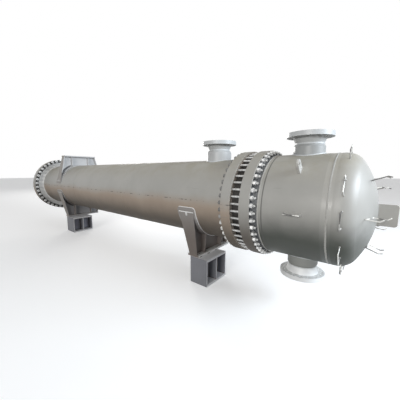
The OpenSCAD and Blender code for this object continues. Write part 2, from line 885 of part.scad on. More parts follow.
// Flat plate with rounded corners standing on the middle of the channel head
module head_end_plate() {
    long = end_plate_reach + head_depth / 2;
    r = end_plate_r;
    color("gainsboro") difference() {
        translate([at(s_head_tip + end_plate_reach - long), end_plate_thk / 2,
            axis_z - end_plate_drop - end_plate_h / 2]) rotate([90, 0, 0])
            linear_extrude(end_plate_thk) union() {
                square([long - r, end_plate_h]);
                translate([0, r]) square([long, end_plate_h - 2 * r]);
                for (z = [r, end_plate_h - r]) translate([long - r, z]) circle(r = r, $fn = 48);
            }
        on_axis(s_head_curve) rotate_extrude()
            dish_section(channel_od + 2 * seat, head_crown_r + seat, head_knuckle_r + seat, head_straight);
    }
}

// Clips on both sides of the channel barrel, their bars along the axis
module barrel_clips() {
    color("silver") for (side = [-1, 1]) at_station(lug_at)
        rotate([side * 90, 0, 0]) translate([0, 0, channel_od / 2]) rotate([0, 0, 90]) staple(seat);
}

module knuckle_clips_ring() {
    lean = knuckle_clip_angle;
    r = knuckle_centre(channel_od, head_knuckle_r) + head_knuckle_r * cos(lean);
    color("silver") at_station(s_head_curve + head_knuckle_r * sin(lean))
        for (angle = knuckle_clip_at) rotate([angle, 0, 0]) translate([0, 0, r]) staple(foot_rise(r, lean));
}

// Clips round the crown, their bars level and their tips bent towards the head's middle
module crown_clips_ring() {
    r = head_crown_r * sin(crown_clip_angle);
    rise = head_crown_r * cos(crown_clip_angle) - crown_back(channel_od, head_crown_r, head_knuckle_r);
    color("silver") at_station(s_head_curve + rise) for (i = [0 : crown_clips - 1]) {
        angle = 20 + i * 360 / crown_clips;
        level = (cos(angle) < 0 ? 180 : 0) - angle;
        rotate([angle, 0, 0]) translate([0, 0, r]) rotate([0, 90 - crown_clip_angle, 0])
            rotate([0, 0, level]) open_clip();
    }
}

shell();
shell_front_flange();
shell_rear_flange();
front_tubesheet();
floating_tubesheet();
front_gaskets();
rear_gasket();
channel_flange();
channel_barrel();
channel_head();
cover_flange();
cover_head();
floating_head();
backing_ring();
tubes();
baffles();
pass_partition();
impingement_plate();
shell_inlet_neck();
shell_inlet_flange();
shell_outlet_neck();
shell_outlet_flange();
channel_inlet_neck();
channel_inlet_flange();
channel_outlet_neck();
channel_outlet_flange();
front_wear_plate();
front_saddle_web();
front_saddle_ribs();
front_base_plate();
front_stool();
rear_wear_plate();
rear_saddle_web();
rear_saddle_ribs();
rear_base_plate();
rear_stool();
bracket_wear_plate();
bracket_web();
bracket_ribs();
bracket_plate();
lifting_lugs();
head_end_plate();
barrel_clips();
knuckle_clips_ring();
crown_clips_ring();
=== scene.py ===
"""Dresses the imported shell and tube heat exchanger: bolting, welds, paint and a plain studio.

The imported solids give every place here. All lengths are metres, +X runs along the tubes
towards the channel and its dished head, and the floor is at z = 0.
"""
from collections import namedtuple
import json
import math
import random

import bmesh
import bpy
from mathutils import Matrix, Vector

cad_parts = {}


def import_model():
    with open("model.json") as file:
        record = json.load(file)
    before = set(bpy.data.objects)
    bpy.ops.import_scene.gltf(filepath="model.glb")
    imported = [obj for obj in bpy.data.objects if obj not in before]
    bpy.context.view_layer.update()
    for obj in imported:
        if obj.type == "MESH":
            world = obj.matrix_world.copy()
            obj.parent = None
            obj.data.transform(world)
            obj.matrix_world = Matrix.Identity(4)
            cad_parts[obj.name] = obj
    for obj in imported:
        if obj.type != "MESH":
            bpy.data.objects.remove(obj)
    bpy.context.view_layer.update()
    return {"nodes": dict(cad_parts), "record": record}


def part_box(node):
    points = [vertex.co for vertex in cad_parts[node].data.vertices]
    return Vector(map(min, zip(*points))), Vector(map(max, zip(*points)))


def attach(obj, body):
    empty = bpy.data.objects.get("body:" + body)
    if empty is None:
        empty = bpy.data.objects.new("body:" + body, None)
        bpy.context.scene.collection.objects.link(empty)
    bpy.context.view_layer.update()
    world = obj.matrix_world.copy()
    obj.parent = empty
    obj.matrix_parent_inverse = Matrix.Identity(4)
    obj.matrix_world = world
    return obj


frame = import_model()

# Camera, in the part's frame
CAMERA_PLACE = (3.8018, -2.492, 1.490)
CAMERA_PITCH = math.radians(82.55)
CAMERA_YAW = math.radians(38.9)
CAMERA_LENS = 19.63

# Girth joints: full-length studs with a nut at each end. The studs stand out past the front and
# back nuts by front_out and back_out. A nut's corner cut and turned land are parts of its width.
Joint = namedtuple("Joint", "studs circle flange stud_d nut_width nut_height front_out back_out")
FRONT_JOINT = Joint(48, 1.140, 0.115, 0.026, 0.043, 0.027, 0.026, 0.006)
REAR_JOINT = Joint(40, 1.322, 0.095, 0.032, 0.056, 0.036, 0.070, 0.030)
THREAD_DEPTH = 0.0014
THREAD_RIDGES = 6
NUT_CORNER = 0.10
NUT_LAND = 0.08
NUT_DISH = 0.0008

# Weld beads: radius of the bead's round back, and how far a seam stands proud and wanders
SEAM_BEAD = 0.010
SEAM_PROUD = 0.0035
SEAM_WANDER = 0.0008
NOZZLE_BEAD = 0.009
FILLET_BEAD = 0.006
CLIP_FOOT_BEAD = 0.008
TACK = 0.045
SHELL_COURSES = 3
LONG_SEAM_ANGLE = math.radians(38)

# Plate sizes of the saddles, the bracket and the stools
WEAR_THK = 0.0123
WEAR_CORNER = 0.040
SIDE_DROP = 0.138
SIDE_LEN_TOP = 0.240
SIDE_LEN_FOOT = 0.130
RIB_Y = 0.195
RIB_THK = 0.014
STOOL_PLATE = 0.030
STOOL_WEB = 0.014
STOOL_EDGE_CLEAR = 0.004

# Nozzles, lugs, clips and the head
NOZZLE_PIPE_R = 0.1365
PIPE_BEAD_SINK = 0.002
LUG_ANGLE = math.radians(46)
LUG_HALF = (0.009, 0.038)
CLIP_HALF = 0.067
KNUCKLE_R = 0.170
KNUCKLE_CLIP_LEAN = math.radians(18)
KNUCKLE_CLIP_AT = (20, 63, 91, 124, 156, 188, 220, 252, 284, 318)
CROWN_R = 0.864
HEAD_STRAIGHT = 0.048

# Marks in the paint, painted shade and painted highlights among them: how far they lie from the
# axis, a seam or a flange, and half their width
SLING_MARK_UP = 0.020
FINE_LINE = 0.004
STRIPE_BACK = 0.006
STRIPE_HALF = 0.034
CHANNEL_GROOVE_IN = 0.038
HUB_BACK = 0.048
HUB_HALF = 0.050
CHANNEL_HUB_RISE = 0.035
# Radius inside which the rear flange's hub carries a painted highlight
REAR_HUB_HIGHLIGHT_R = 0.616
# How far past the shell the painted shadow beside the rear webs reaches
SADDLE_CREVICE_SHADOW_RISE = 0.045
RIM_DEPTH = 0.008

# Where a mark on the saddles and the bracket starts and where it is full, along X, Y or Z
REAR_X = (-1.50, -1.60)
NEAR_SIDE_Y = (-0.16, -0.26)
SIDE_PLATE_Y = (-0.28, -0.34)
LOW_WEB_Z = (1.20, 0.90)
BRACKET_Z = (1.30, 1.50)
# Where the beads' grime and painted shade start and where they are full
BEAD_GRIME_AND_SHADE_Z = (0.92, 0.70)

rng = random.Random(12)


# Places read from the solids

def span(node, axis):
    low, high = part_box(node)
    return low[axis], high[axis]


def middle(node):
    low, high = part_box(node)
    return (low + high) / 2


def radius_of(node):
    low, high = span(node, 2)
    return (high - low) / 2


axis_z = middle("shell").z
shell_r = radius_of("shell")
channel_r = radius_of("channel_barrel")
cover_r = radius_of("cover_head")
head_weld_x = span("channel_head", 0)[0]


# Modelling helpers

def nothing_selected():
    if bpy.context.mode != "OBJECT":
        bpy.ops.object.mode_set(mode="OBJECT")
    bpy.ops.object.select_all(action="DESELECT")


def select_only(*objects):
    nothing_selected()
    for one in objects:
        one.select_set(True)
    bpy.context.view_layer.objects.active = objects[0]


def named(name):
    made = bpy.context.active_object
    made.name = name
    made.data.name = name
    return made


def set_place(piece):
    """Moves a piece's place into its mesh."""
    select_only(piece)
    bpy.ops.object.transform_apply(location=True, rotation=True, scale=True)


def edit(piece, mode="FACE"):
    select_only(piece)
    bpy.ops.object.mode_set(mode="EDIT")
    bpy.ops.mesh.select_mode(type=mode)
    bpy.ops.mesh.select_all(action="DESELECT")
    return bmesh.from_edit_mesh(piece.data)


def done_editing(piece):
    bmesh.update_edit_mesh(piece.data)
    bpy.ops.object.mode_set(mode="OBJECT")


def turned(name, rings, sides):
    """A round bar along +Z, drawn ring by ring: each ring is a radius and a height."""
    nothing_selected()
    first_r, first_z = rings[0]
    bpy.ops.mesh.primitive_circle_add(
        vertices=sides, radius=first_r, fill_type="NGON", location=(0, 0, first_z))
    piece = named(name)
    set_place(piece)
    select_only(piece)
    bpy.ops.object.mode_set(mode="EDIT")
    bpy.ops.mesh.select_all(action="SELECT")
    r_now, z_now = first_r, first_z
    for r, z in rings[1:]:
        bpy.ops.mesh.extrude_region_move(TRANSFORM_OT_translate={"value": (0, 0, z - z_now)})
        grow = r / r_now
        if grow != 1:
            bpy.ops.transform.resize(value=(grow, grow, 1), center_override=(0, 0, z))
        r_now, z_now = r, z
    bpy.ops.mesh.select_all(action="SELECT")
    bpy.ops.mesh.normals_make_consistent(inside=False)
    bpy.ops.object.mode_set(mode="OBJECT")
    return piece


def copied(piece, places, name):
    """Copies a piece to each place and joins the copies into one mesh."""
    copies = []
    for place in places:
        twin = piece.copy()
        twin.data = piece.data.copy()
        bpy.context.scene.collection.objects.link(twin)
        twin.data.transform(place)
        copies.append(twin)
    bpy.data.objects.remove(piece)
    return joined(copies, name)


def joined(pieces, name):
    select_only(*pieces)
    bpy.ops.object.join()
    return named(name)


def round_axis(x, r, angle):
    """A point at a place along the axis, a radius, and an angle from the top towards -Y."""
    return Vector((x, -r * math.sin(angle), axis_z + r * math.cos(angle)))


def steps(first, last, count):
    """Evenly spaced values, both ends among them."""
    return [first + (last - first) * i / (count - 1) for i in range(count)]


def dress(piece, material, smooth=35):
    piece.data.materials.clear()
    piece.data.materials.append(material)
    select_only(piece)
    bpy.ops.object.shade_smooth_by_angle(angle=math.radians(smooth))
    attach(piece, "root")
    return piece


# Materials

class Wire:
    """An output socket. Sums and products on it add Math nodes."""

    def __init__(self, finish, socket):
        self.finish = finish
        self.socket = socket

    def _math(self, operation, first, second=0.0):
        return self.finish.add("ShaderNodeMath", {"operation": operation}, {0: first, 1: second})

    def __add__(self, other):
        return self._math("ADD", self, other)

    def __radd__(self, other):
        return self._math("ADD", other, self)

    def __sub__(self, other):
        return self._math("SUBTRACT", self, other)

    def __rsub__(self, other):
        return self._math("SUBTRACT", other, self)

    def __mul__(self, other):
        return self._math("MULTIPLY", self, other)

    def __rmul__(self, other):
        return self._math("MULTIPLY", other, self)

    def __abs__(self):
        return self._math("ABSOLUTE", self)


class Finish:
    """A material and the nodes that make it."""

    def __init__(self, name):
        self.material = bpy.data.materials.new(name)
        self.material.use_nodes = True
        self.tree = self.material.node_tree
        self.tree.nodes.clear()
        self.place = self.add("ShaderNodeTexCoord", out="Object")

    def add(self, kind, settings=None, sockets=None, out=0):
        node = self.tree.nodes.new(kind)
        for key, value in (settings or {}).items():
            setattr(node, key, value)
        for key, value in (sockets or {}).items():
            if isinstance(value, Wire):
                self.tree.links.new(value.socket, node.inputs[key])
            else:
                node.inputs[key].default_value = value
        return Wire(self, node.outputs[out])

    def noise(self, scale, detail=3.0, rough=0.5, stretch=(1, 1, 1)):
        spot = self.add("ShaderNodeMapping", {}, {"Vector": self.place, "Scale": stretch})
        return self.add("ShaderNodeTexNoise", {}, {
            "Vector": spot, "Scale": scale, "Detail": detail, "Roughness": rough})

    def ramp(self, factor, low, high):
        """Goes from 0 at low to 1 at high."""
        return self.add("ShaderNodeMapRange", {"interpolation_type": "SMOOTHSTEP"}, {
            "Value": factor, "From Min": low, "From Max": high})

    def mix(self, factor, first, second):
        shades = [shade if isinstance(shade, Wire) else (*shade, 1) for shade in (first, second)]
        return self.add("ShaderNodeMix", {"data_type": "RGBA"}, {
            0: factor, 6: shades[0], 7: shades[1]}, out=2)

    def facing(self, axis):
        """How far the surface faces along an axis, from -1 to 1."""
        normal = self.add("ShaderNodeTexCoord", out="Normal")
        return self.add("ShaderNodeSeparateXYZ", {}, {"Vector": normal}, out=axis)

    def squarely(self, axis, way=1):
        """1 where the surface faces squarely along an axis, or against it where way is -1."""
        return self.ramp(self.facing(axis), way * 0.90, way * 0.97)

    def coordinate(self, axis):
        return self.add("ShaderNodeSeparateXYZ", {}, {"Vector": self.place}, out=axis)

    def within(self, radius, soft):
        """1 nearer the exchanger's axis than a radius, fading to 0 over a soft edge."""
        across, high = self.coordinate(1), self.coordinate(2) - axis_z
        squared = across * across + high * high
        return self.ramp(squared, (radius + soft) ** 2, radius ** 2)

    def near(self, axis, value, half, soft):
        """1 within half of a coordinate, fading to 0 over a soft edge."""
        return self.ramp(abs(self.coordinate(axis) - value), half + soft, half)

    def bump(self, height, distance, strength=1.0):
        return self.add("ShaderNodeBump", {}, {
            "Height": height, "Distance": distance, "Strength": strength})

    def close(self, sockets):
        """Ends the node tree in a Principled shader and returns the material."""
        shader = self.add("ShaderNodeBsdfPrincipled", {}, sockets)
        end = self.tree.nodes.new("ShaderNodeOutputMaterial")
        self.tree.links.new(shader.socket, end.inputs["Surface"])
        return self.material


def times(shade, amount):
    """A shade made darker or paler."""
    return tuple(min(1.0, c * amount) for c in shade)


class Paint:
    """Sprayed satin paint, built up in layers over one shade."""

    def __init__(self, name, shade, patchy=0.05):
        self.finish = Finish(name)
        self.shade = shade
        self.clouds = self.finish.noise(1.7, 4.0, 0.6)
        self.base = self.finish.mix(self.finish.ramp(self.clouds, 0.35, 0.65),
                                    times(shade, 1 - patchy), times(shade, 1 + patchy))
        self.shine = (self.clouds - 0.5) * 0.12

    def layer(self, amount, shade, rougher=0.0):
        """Lays a shade over the paint by an amount from 0 to 1, and makes it that much rougher."""
        self.base = self.finish.mix(amount, self.base, shade)
        self.shine = self.shine + amount * rougher
        return self

    def dust_and_top_light(self, shade, strength=0.35):
        """Colours what faces up: partly dust, partly painted light and reflection on top faces."""
        upward = self.finish.ramp(self.finish.facing(2), 0.35, 0.95)
        patches = self.finish.ramp(self.finish.noise(6.0, 5.0, 0.65), 0.35, 0.70)
        return self.layer(upward * (0.5 + patches * 0.5) * strength, shade, 0.3)

    def soil_and_under_shade(self, shade, strength=0.95, first=0.02, full=-0.72):
        """Darkening that thickens towards the underside: partly dirt, partly painted shade."""
        under = self.finish.ramp(self.finish.facing(2) + (self.clouds - 0.5) * 0.3, first, full)
        return self.layer(under * strength, shade, 0.15)

    def grime_and_shade(self, shade, high, low, strength=0.7):
        """Darkening near the floor, partly grime and partly painted shade, clear above the high
        level and full below the low one.
        """
        level = self.finish.coordinate(2) + (self.clouds - 0.5) * 0.2
        return self.layer(self.finish.ramp(level, high, low) * strength, shade, 0.1)

    def scuffs(self, strength=0.4):
        """Small rubbed spots, drawn out a little along the exchanger."""
        marks = self.finish.ramp(self.finish.noise(14.0, 6.0, 0.72, (0.35, 1, 1)), 0.70, 0.76)
        return self.layer(marks * strength, times(self.shade, 0.6), 0.2)

    def scratches(self, strength=0.35):
        """Fine lines along the exchanger, where slings and straps rubbed."""
        lines = self.finish.ramp(self.finish.noise(42.0, 3.0, 0.6, (0.035, 1, 1)), 0.70, 0.73)
        return self.layer(lines * strength, times(self.shade, 0.55), 0.1)

    def sling_mark(self, z):
        """Broken dark line along a barrel, where a sling edge rubbed."""
        dashes = self.finish.ramp(self.finish.noise(7.0, 5.0, 0.75, (1, 0, 0)), 0.50, 0.56)
        line = self.finish.near(2, z, FINE_LINE, FINE_LINE)
        return self.layer(line * dashes * 0.7, times(self.shade, 0.2), 0.1)

    def stripe(self, x, half, shade):
        """Brushed coat over a round seam."""
        brush = self.finish.ramp(self.finish.noise(38.0, 2.0, 0.5, (1, 0.12, 0.12)), 0.2, 0.6)
        band = self.finish.near(0, x, half, 0.006)
        return self.layer(band * (0.45 + brush * 0.55), shade, -0.16)

    def groove(self, x):
        """Dark line round a barrel beside a weld or a step: partly dirt, partly painted shadow."""
        line = self.finish.near(0, x, FINE_LINE, FINE_LINE)
        return self.layer(line * 0.75, times(self.shade, 0.22), 0.1)

    def done(self, roughness, peel=0.00012):
        """Ends the paint with the fine uneven skin that spraying leaves."""
        skin = self.finish.noise(60.0, 2.0) * 0.6 + self.finish.noise(260.0, 1.0) * 0.4
        return self.finish.close({
            "Base Color": self.base, "Roughness": roughness + self.shine,
            "Normal": self.finish.bump(skin, peel, 0.5), "Specular IOR Level": 0.4})


SHELL_SHADE = (0.400, 0.394, 0.372)
# Colour on the tops, darker and yellower than the paint: partly dust, partly a painted dark
# reflection of the surroundings
SHELL_DUST_AND_DARK_REFLECTION = (0.315, 0.278, 0.190)
# Undersides of the shell and the channel: partly soil, partly painted shade
SHELL_SOIL_AND_SHADE = (0.105, 0.090, 0.074)
CHANNEL_SOIL_AND_SHADE = (0.050, 0.056, 0.046)
# Painted reflection of a brown floor, laid below the shell's middle
FLOOR_REFLECTION_BROWN = (0.380, 0.285, 0.210)
SADDLE_SHADE = (0.480, 0.480, 0.484)
# Lower saddle parts: partly grime, partly painted shade
SADDLE_GRIME_AND_SHADE = (0.145, 0.120, 0.106)
# Painted shade on the side plates that face -Y
SIDE_PLATE_PAINTED_SHADE = (0.290, 0.268, 0.245)
# Painted light on the lower parts of the rear webs, which face the channel
REAR_WEB_PAINTED_LIGHT = (0.420, 0.430, 0.455)
# Painted highlight on stool tops and rims and on the bracket web
RIM_HIGHLIGHT = (0.880, 0.880, 0.890)
# Near black: partly oil, partly painted shadow between the nuts and in crevices
OIL_AND_SHADOW_BLACK = (0.022, 0.020, 0.018)
# Painted shade on the channel flange's hub beside the nuts
HUB_PAINTED_SHADE = (0.095, 0.102, 0.112)
# Painted highlight on the rear flange's hub ring
HUB_RING_HIGHLIGHT = (0.820, 0.820, 0.810)


def channel_paint(name, lower_grime_and_shade):
    """Shell paint on the channel; the second argument is how far the lower half darkens, partly
    grime and partly painted shade.
    """
    paint = Paint(name, SHELL_SHADE)
    paint.stripe(head_weld_x - STRIPE_BACK, STRIPE_HALF, times(SHELL_SHADE, 1.18))
    # Painted dark reflection on top, partly dust, and painted shade underneath, partly soil
    paint.dust_and_top_light(SHELL_DUST_AND_DARK_REFLECTION, 0.6).soil_and_under_shade(CHANNEL_SOIL_AND_SHADE, 0.95, 0.06, -0.54).scuffs().scratches()
    # Painted shade low down, partly grime
    paint.grime_and_shade(CHANNEL_SOIL_AND_SHADE, 1.17, 0.80, lower_grime_and_shade)
    # Painted shadow line beside the channel flange's weld, partly dirt
    paint.groove(span("channel_barrel", 0)[0] + CHANNEL_GROOVE_IN)
    return paint.done(0.40)


def shell_paint():
    """Shell paint with a painted reflection of a brown floor below the middle, painted shade
    underneath, partly soil, and a sling's mark along it.
    """
    paint = Paint("shell_paint", SHELL_SHADE)
    # Painted dark reflection on top, partly dust; painted floor reflection below the middle;
    # painted shade underneath, partly soil
    paint.dust_and_top_light(SHELL_DUST_AND_DARK_REFLECTION, 0.6).soil_and_under_shade(FLOOR_REFLECTION_BROWN, 0.75, 0.22, -0.15).soil_and_under_shade(SHELL_SOIL_AND_SHADE)
    return paint.scuffs().scratches().sling_mark(axis_z + SLING_MARK_UP).done(0.40)


def girth_paint(name, shade, flange, hub_r, hub_painted_light):
    """Shell paint on a girth flange; the flat side under the nuts is near black, partly oil and
    partly painted shadow between the nuts.

    The hub, which lies nearer the axis than hub_r, gets a painted tone of its own: painted shade
    on the channel flange, a painted highlight on the rear one.
    """
    paint = Paint(name, shade)
    # Painted dark reflection on top and painted shade underneath, partly dust and soil
    paint.dust_and_top_light(SHELL_DUST_AND_DARK_REFLECTION, 0.5).soil_and_under_shade(SHELL_SOIL_AND_SHADE, 0.95, 0.10, -0.55).scuffs()
    flat = paint.finish.ramp(paint.finish.facing(0), 0.95, 0.99)
    # The flat side under the nuts: near black, partly oil, partly painted shadow between the nuts
    paint.layer(flat, OIL_AND_SHADOW_BLACK, -0.05)
    along = paint.finish.near(0, span(flange, 0)[1] - HUB_BACK, HUB_HALF, 0.006)
    # The hub's own painted tone: painted shade on the channel flange, a painted highlight on the
    # rear one
    paint.layer(along * paint.finish.within(hub_r, 0.006) * 0.88, hub_painted_light)
    return paint.done(0.42)


def nozzle_paint(name, shade, grime_and_shade):
    """Paler paint than the shell's, darker towards the underside; the last argument is how far the
    nozzles below the shell darken, partly grime and partly painted shade.
    """
    paint = Paint(name, shade, 0.04)
    # Paler tops, partly dust; darker underside and lower nozzles, partly dirt and partly painted
    # shade
    paint.dust_and_top_light((0.60, 0.60, 0.57)).soil_and_under_shade((0.30, 0.295, 0.28), 0.6)
    return paint.grime_and_shade((0.22, 0.225, 0.20), 0.85, 0.55, grime_and_shade).scuffs(0.3).done(0.38)


def saddle_paint(name, end_highlight):
    """Paint on the saddles and the bracket; a colour given for the ends is a painted highlight on
    the sides that face the channel.

    Painted shade lies on the side plates that face -Y and, partly grime, low down; a painted
    highlight, partly dust, on top faces. At the rear the webs get painted light, and a painted
    shadow lies beside the shell on the near side.
    """
    paint = Paint(name, SADDLE_SHADE)
    finish = paint.finish
    end = finish.squarely(0)
    side_plate = finish.squarely(1, -1) * finish.ramp(finish.coordinate(1), *SIDE_PLATE_Y)
    # Painted shade on the side plates that face -Y
    paint.layer(side_plate * 0.7, SIDE_PLATE_PAINTED_SHADE)
    # Painted shade low down, partly grime, and a painted highlight on top faces, partly dust
    paint.grime_and_shade(SADDLE_GRIME_AND_SHADE, 1.25, 0.55, 0.92).dust_and_top_light((0.75, 0.75, 0.73), 0.9)
    rear = finish.ramp(finish.coordinate(0), *REAR_X)
    low_web = end * rear * finish.ramp(finish.coordinate(2), *LOW_WEB_Z)
    bracket_web = end * rear * finish.ramp(finish.coordinate(2), *BRACKET_Z)
    near_side = finish.ramp(finish.coordinate(1), *NEAR_SIDE_Y)
    dark_mark = end * rear * near_side * finish.within(shell_r + SADDLE_CREVICE_SHADOW_RISE, 0.020)
    # Painted shade again on the rear side plates, over the darkening below
    paint.layer(side_plate * rear * 0.7, SIDE_PLATE_PAINTED_SHADE)
    # Painted light on the rear webs: paler and bluer low down, near white on the bracket
    paint.layer(low_web * 0.6, REAR_WEB_PAINTED_LIGHT).layer(bracket_web * 0.35, RIM_HIGHLIGHT)
    # Painted shadow beside the shell on the rear webs' near side
    paint.layer(dark_mark * 0.9, OIL_AND_SHADOW_BLACK)
    # Painted highlight on the sides that face the channel, where a colour is given
    if end_highlight:
        paint.layer(end * 0.85, end_highlight)
    return paint.scuffs(0.4).done(0.46)


def stool_paint():
    """Lavender grey, with painted light on the sides that face the channel and a painted highlight
    on top and on the rims.
    """
    paint = Paint("stool_paint", (0.200, 0.203, 0.222), 0.07)
    end = paint.finish.squarely(0)
    # Painted light on the sides that face the channel
    paint.layer(end * 0.9, (0.560, 0.565, 0.650))
    # Painted highlight on top faces, and below on the rims
    paint.layer(paint.finish.squarely(2) * 0.85, RIM_HIGHLIGHT)
    for stool in ("front_stool", "rear_stool"):
        rim = paint.finish.near(0, span(stool, 0)[1], RIM_DEPTH, 0.004)
        paint.layer(end * rim * 0.9, RIM_HIGHLIGHT)
    return paint.scuffs(0.5).scratches(0.5).done(0.50)


def weld_paint(name, shade, floor_grime_and_shade=None):
    """Painted bead with the weld's ripples; a colour given last is its colour near the floor,
    partly grime and partly painted shade.
    """
    finish = Finish(name)
    ripple = finish.noise(160.0, 2.0, 0.6)
    base = finish.mix(finish.ramp(ripple, 0.3, 0.7), times(shade, 0.86), times(shade, 1.14))
    if floor_grime_and_shade:
        # Painted shade near the floor, partly grime
        base = finish.mix(finish.ramp(finish.coordinate(2), *BEAD_GRIME_AND_SHADE_Z), base, floor_grime_and_shade)
    return finish.close({
        "Base Color": base, "Roughness": 0.42 + ripple * 0.1,
        "Normal": finish.bump(ripple, 0.0012)})


def bolting(name, dull, bright, metallic, upper):
    """Studs and nuts, a little cloudy; upper is how far those above the axis are darkened towards
    near black.
    """
    finish = Finish(name)
    cloud = finish.noise(45.0, 4.0, 0.6)
    dark_mark = finish.ramp(finish.noise(9.0, 3.0), 0.55, 0.68) * 0.4
    base = finish.mix(finish.ramp(cloud, 0.3, 0.7), dull, bright)
    base = finish.mix(dark_mark, base, times(dull, 0.45))
    above = finish.ramp(finish.coordinate(2), axis_z - 0.25, axis_z - 0.05)
    base = finish.mix(above * upper, base, OIL_AND_SHADOW_BLACK)
    return finish.close({
        "Base Color": base, "Metallic": metallic, "Roughness": 0.30 + cloud * 0.18,
        "Normal": finish.bump(cloud, 0.0003)})


def bare_steel():
    """Dark forged and oiled steel with turning marks, near black partly as oxide and partly as
    painted shadow in the girth joints' gap.
    """
    finish = Finish("bare_steel")
    marks = finish.noise(300.0, 2.0, 0.5, (1, 0.08, 0.08))
    film = finish.noise(7.0, 4.0, 0.6)
    # Near black: partly oxide, partly painted shadow in the girth joints' gap
    base = finish.mix(finish.ramp(film, 0.4, 0.65), (0.040, 0.037, 0.034), (0.016, 0.015, 0.014))
    return finish.close({
        "Base Color": base, "Metallic": 0.1, "Roughness": 0.50 + film * 0.16,
        "Normal": finish.bump(marks, 0.0002), "Specular IOR Level": 0.3})


def gasket_finish():
    """Wound steel strip with graphite between the turns."""
    finish = Finish("gasket")
    grain = finish.noise(420.0, 2.0)
    base = finish.mix(grain, (0.03, 0.03, 0.03), (0.08, 0.08, 0.078))
    return finish.close({
        "Base Color": base, "Metallic": 0.3, "Roughness": 0.55 + grain * 0.1,
        "Normal": finish.bump(grain, 0.0004)})


def clip_steel():
    """Drawn round rod, dark in places and pale in others: partly overspray, partly painted glints.
    """
    finish = Finish("clip_steel")
    # Pale patches: partly overspray, partly painted glints
    spray_and_glints = finish.ramp(finish.noise(11.0, 3.0), 0.44, 0.56)
    base = finish.mix(spray_and_glints, (0.14, 0.135, 0.13), (0.82, 0.81, 0.77))
    return finish.close({
        "Base Color": base, "Metallic": 0.4, "Roughness": 0.32 + spray_and_glints * 0.2,
        "Normal": finish.bump(spray_and_glints, 0.0002)})


CHANNEL_PAINT = channel_paint("channel_paint", 0.0)
# The head's lower half gets painted shade, partly grime
HEAD_PAINT = channel_paint("head_paint", 0.5)
LUG_PAINT = weld_paint("lug_paint", (0.56, 0.55, 0.52))
# Darker copy for the channel's necks: painted shade
CHANNEL_NECK_SHADED_PAINT = nozzle_paint("neck_paint", (0.34, 0.35, 0.35), 0.6)
SHELL_NECK_PAINT = nozzle_paint("shell_neck_paint", (0.47, 0.48, 0.485), 0.6)
# Much paler copy for the outlet flange: painted highlight
LOW_FLANGE_HIGHLIGHT_PAINT = nozzle_paint("low_flange_highlight_paint", (0.82, 0.83, 0.83), 0.0)
# Painted highlight on the sides of the front wear and base plates that face the channel
EDGE_HIGHLIGHT_PAINT = saddle_paint("edge_highlight_paint", (0.92, 0.92, 0.92))
CHANNEL_FLANGE_PAINT = girth_paint(
    "channel_flange_paint", SHELL_SHADE, "channel_flange", channel_r + CHANNEL_HUB_RISE, HUB_PAINTED_SHADE)
REAR_FLANGE_PAINT = girth_paint(
    "rear_flange_paint", times(SHELL_SHADE, 0.68), "shell_rear_flange", REAR_HUB_HIGHLIGHT_R, HUB_RING_HIGHLIGHT)
BOLTING = bolting("bolting", (0.66, 0.66, 0.65), (0.88, 0.88, 0.87), 0.7, 0.0)
STUD_STEEL = bolting("stud_steel", (0.38, 0.38, 0.37), (0.66, 0.66, 0.65), 0.6, 0.0)
BACK_BOLTING = bolting("back_bolting", (0.60, 0.60, 0.58), (0.90, 0.90, 0.88), 0.2, 0.75)
SHELL_WELD = weld_paint("shell_weld", times(SHELL_SHADE, 1.05))
NOZZLE_WELD = weld_paint("nozzle_weld", (0.58, 0.60, 0.61))
SADDLE_WELD = weld_paint("saddle_weld", times(SADDLE_SHADE, 1.1), SADDLE_GRIME_AND_SHADE)
# Pale beads on the front saddle: painted highlight along its plate edges, with painted shade,
# partly grime, near the floor
EDGE_HIGHLIGHT_WELD = weld_paint("edge_highlight_weld", (0.93, 0.93, 0.93), SADDLE_GRIME_AND_SHADE)
SLOT_FINISH = {
    "shell_paint": shell_paint(),
    "nozzle_paint": nozzle_paint("nozzle_paint", (0.54, 0.555, 0.56), 0.0),
    "saddle_paint": saddle_paint("saddle_paint", None),
    "stool_paint": stool_paint(),
    "bare_steel": bare_steel(),
    "gasket": gasket_finish(),
    "clip_steel": clip_steel(),
}
NODE_FINISH = {
    "channel_barrel": CHANNEL_PAINT,
    "channel_head": HEAD_PAINT,
    "head_end_plate": CHANNEL_PAINT,
    "lifting_lugs": LUG_PAINT,
    "front_wear_plate": EDGE_HIGHLIGHT_PAINT,
    "front_base_plate": EDGE_HIGHLIGHT_PAINT,
    "channel_flange": CHANNEL_FLANGE_PAINT,
    "shell_rear_flange": REAR_FLANGE_PAINT,
    "channel_outlet_flange": LOW_FLANGE_HIGHLIGHT_PAINT,
    "channel_inlet_neck": CHANNEL_NECK_SHADED_PAINT,
    "channel_outlet_neck": CHANNEL_NECK_SHADED_PAINT,
    "shell_inlet_neck": SHELL_NECK_PAINT,
    "shell_outlet_neck": SHELL_NECK_PAINT,
}


def finish_solids():
    """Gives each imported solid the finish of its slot, or its own where it has one."""
    for row in frame["record"]["subparts"]:
        solid = frame["nodes"][row["node"]]
        finish = SLOT_FINISH[row["material_slot"]]
        finish = NODE_FINISH.get(row["node"], finish)
        if not solid.material_slots:
            solid.data.materials.append(None)
        for slot in solid.material_slots:
            slot.link = "OBJECT"
            slot.material = finish


# Bolting of the girth joints

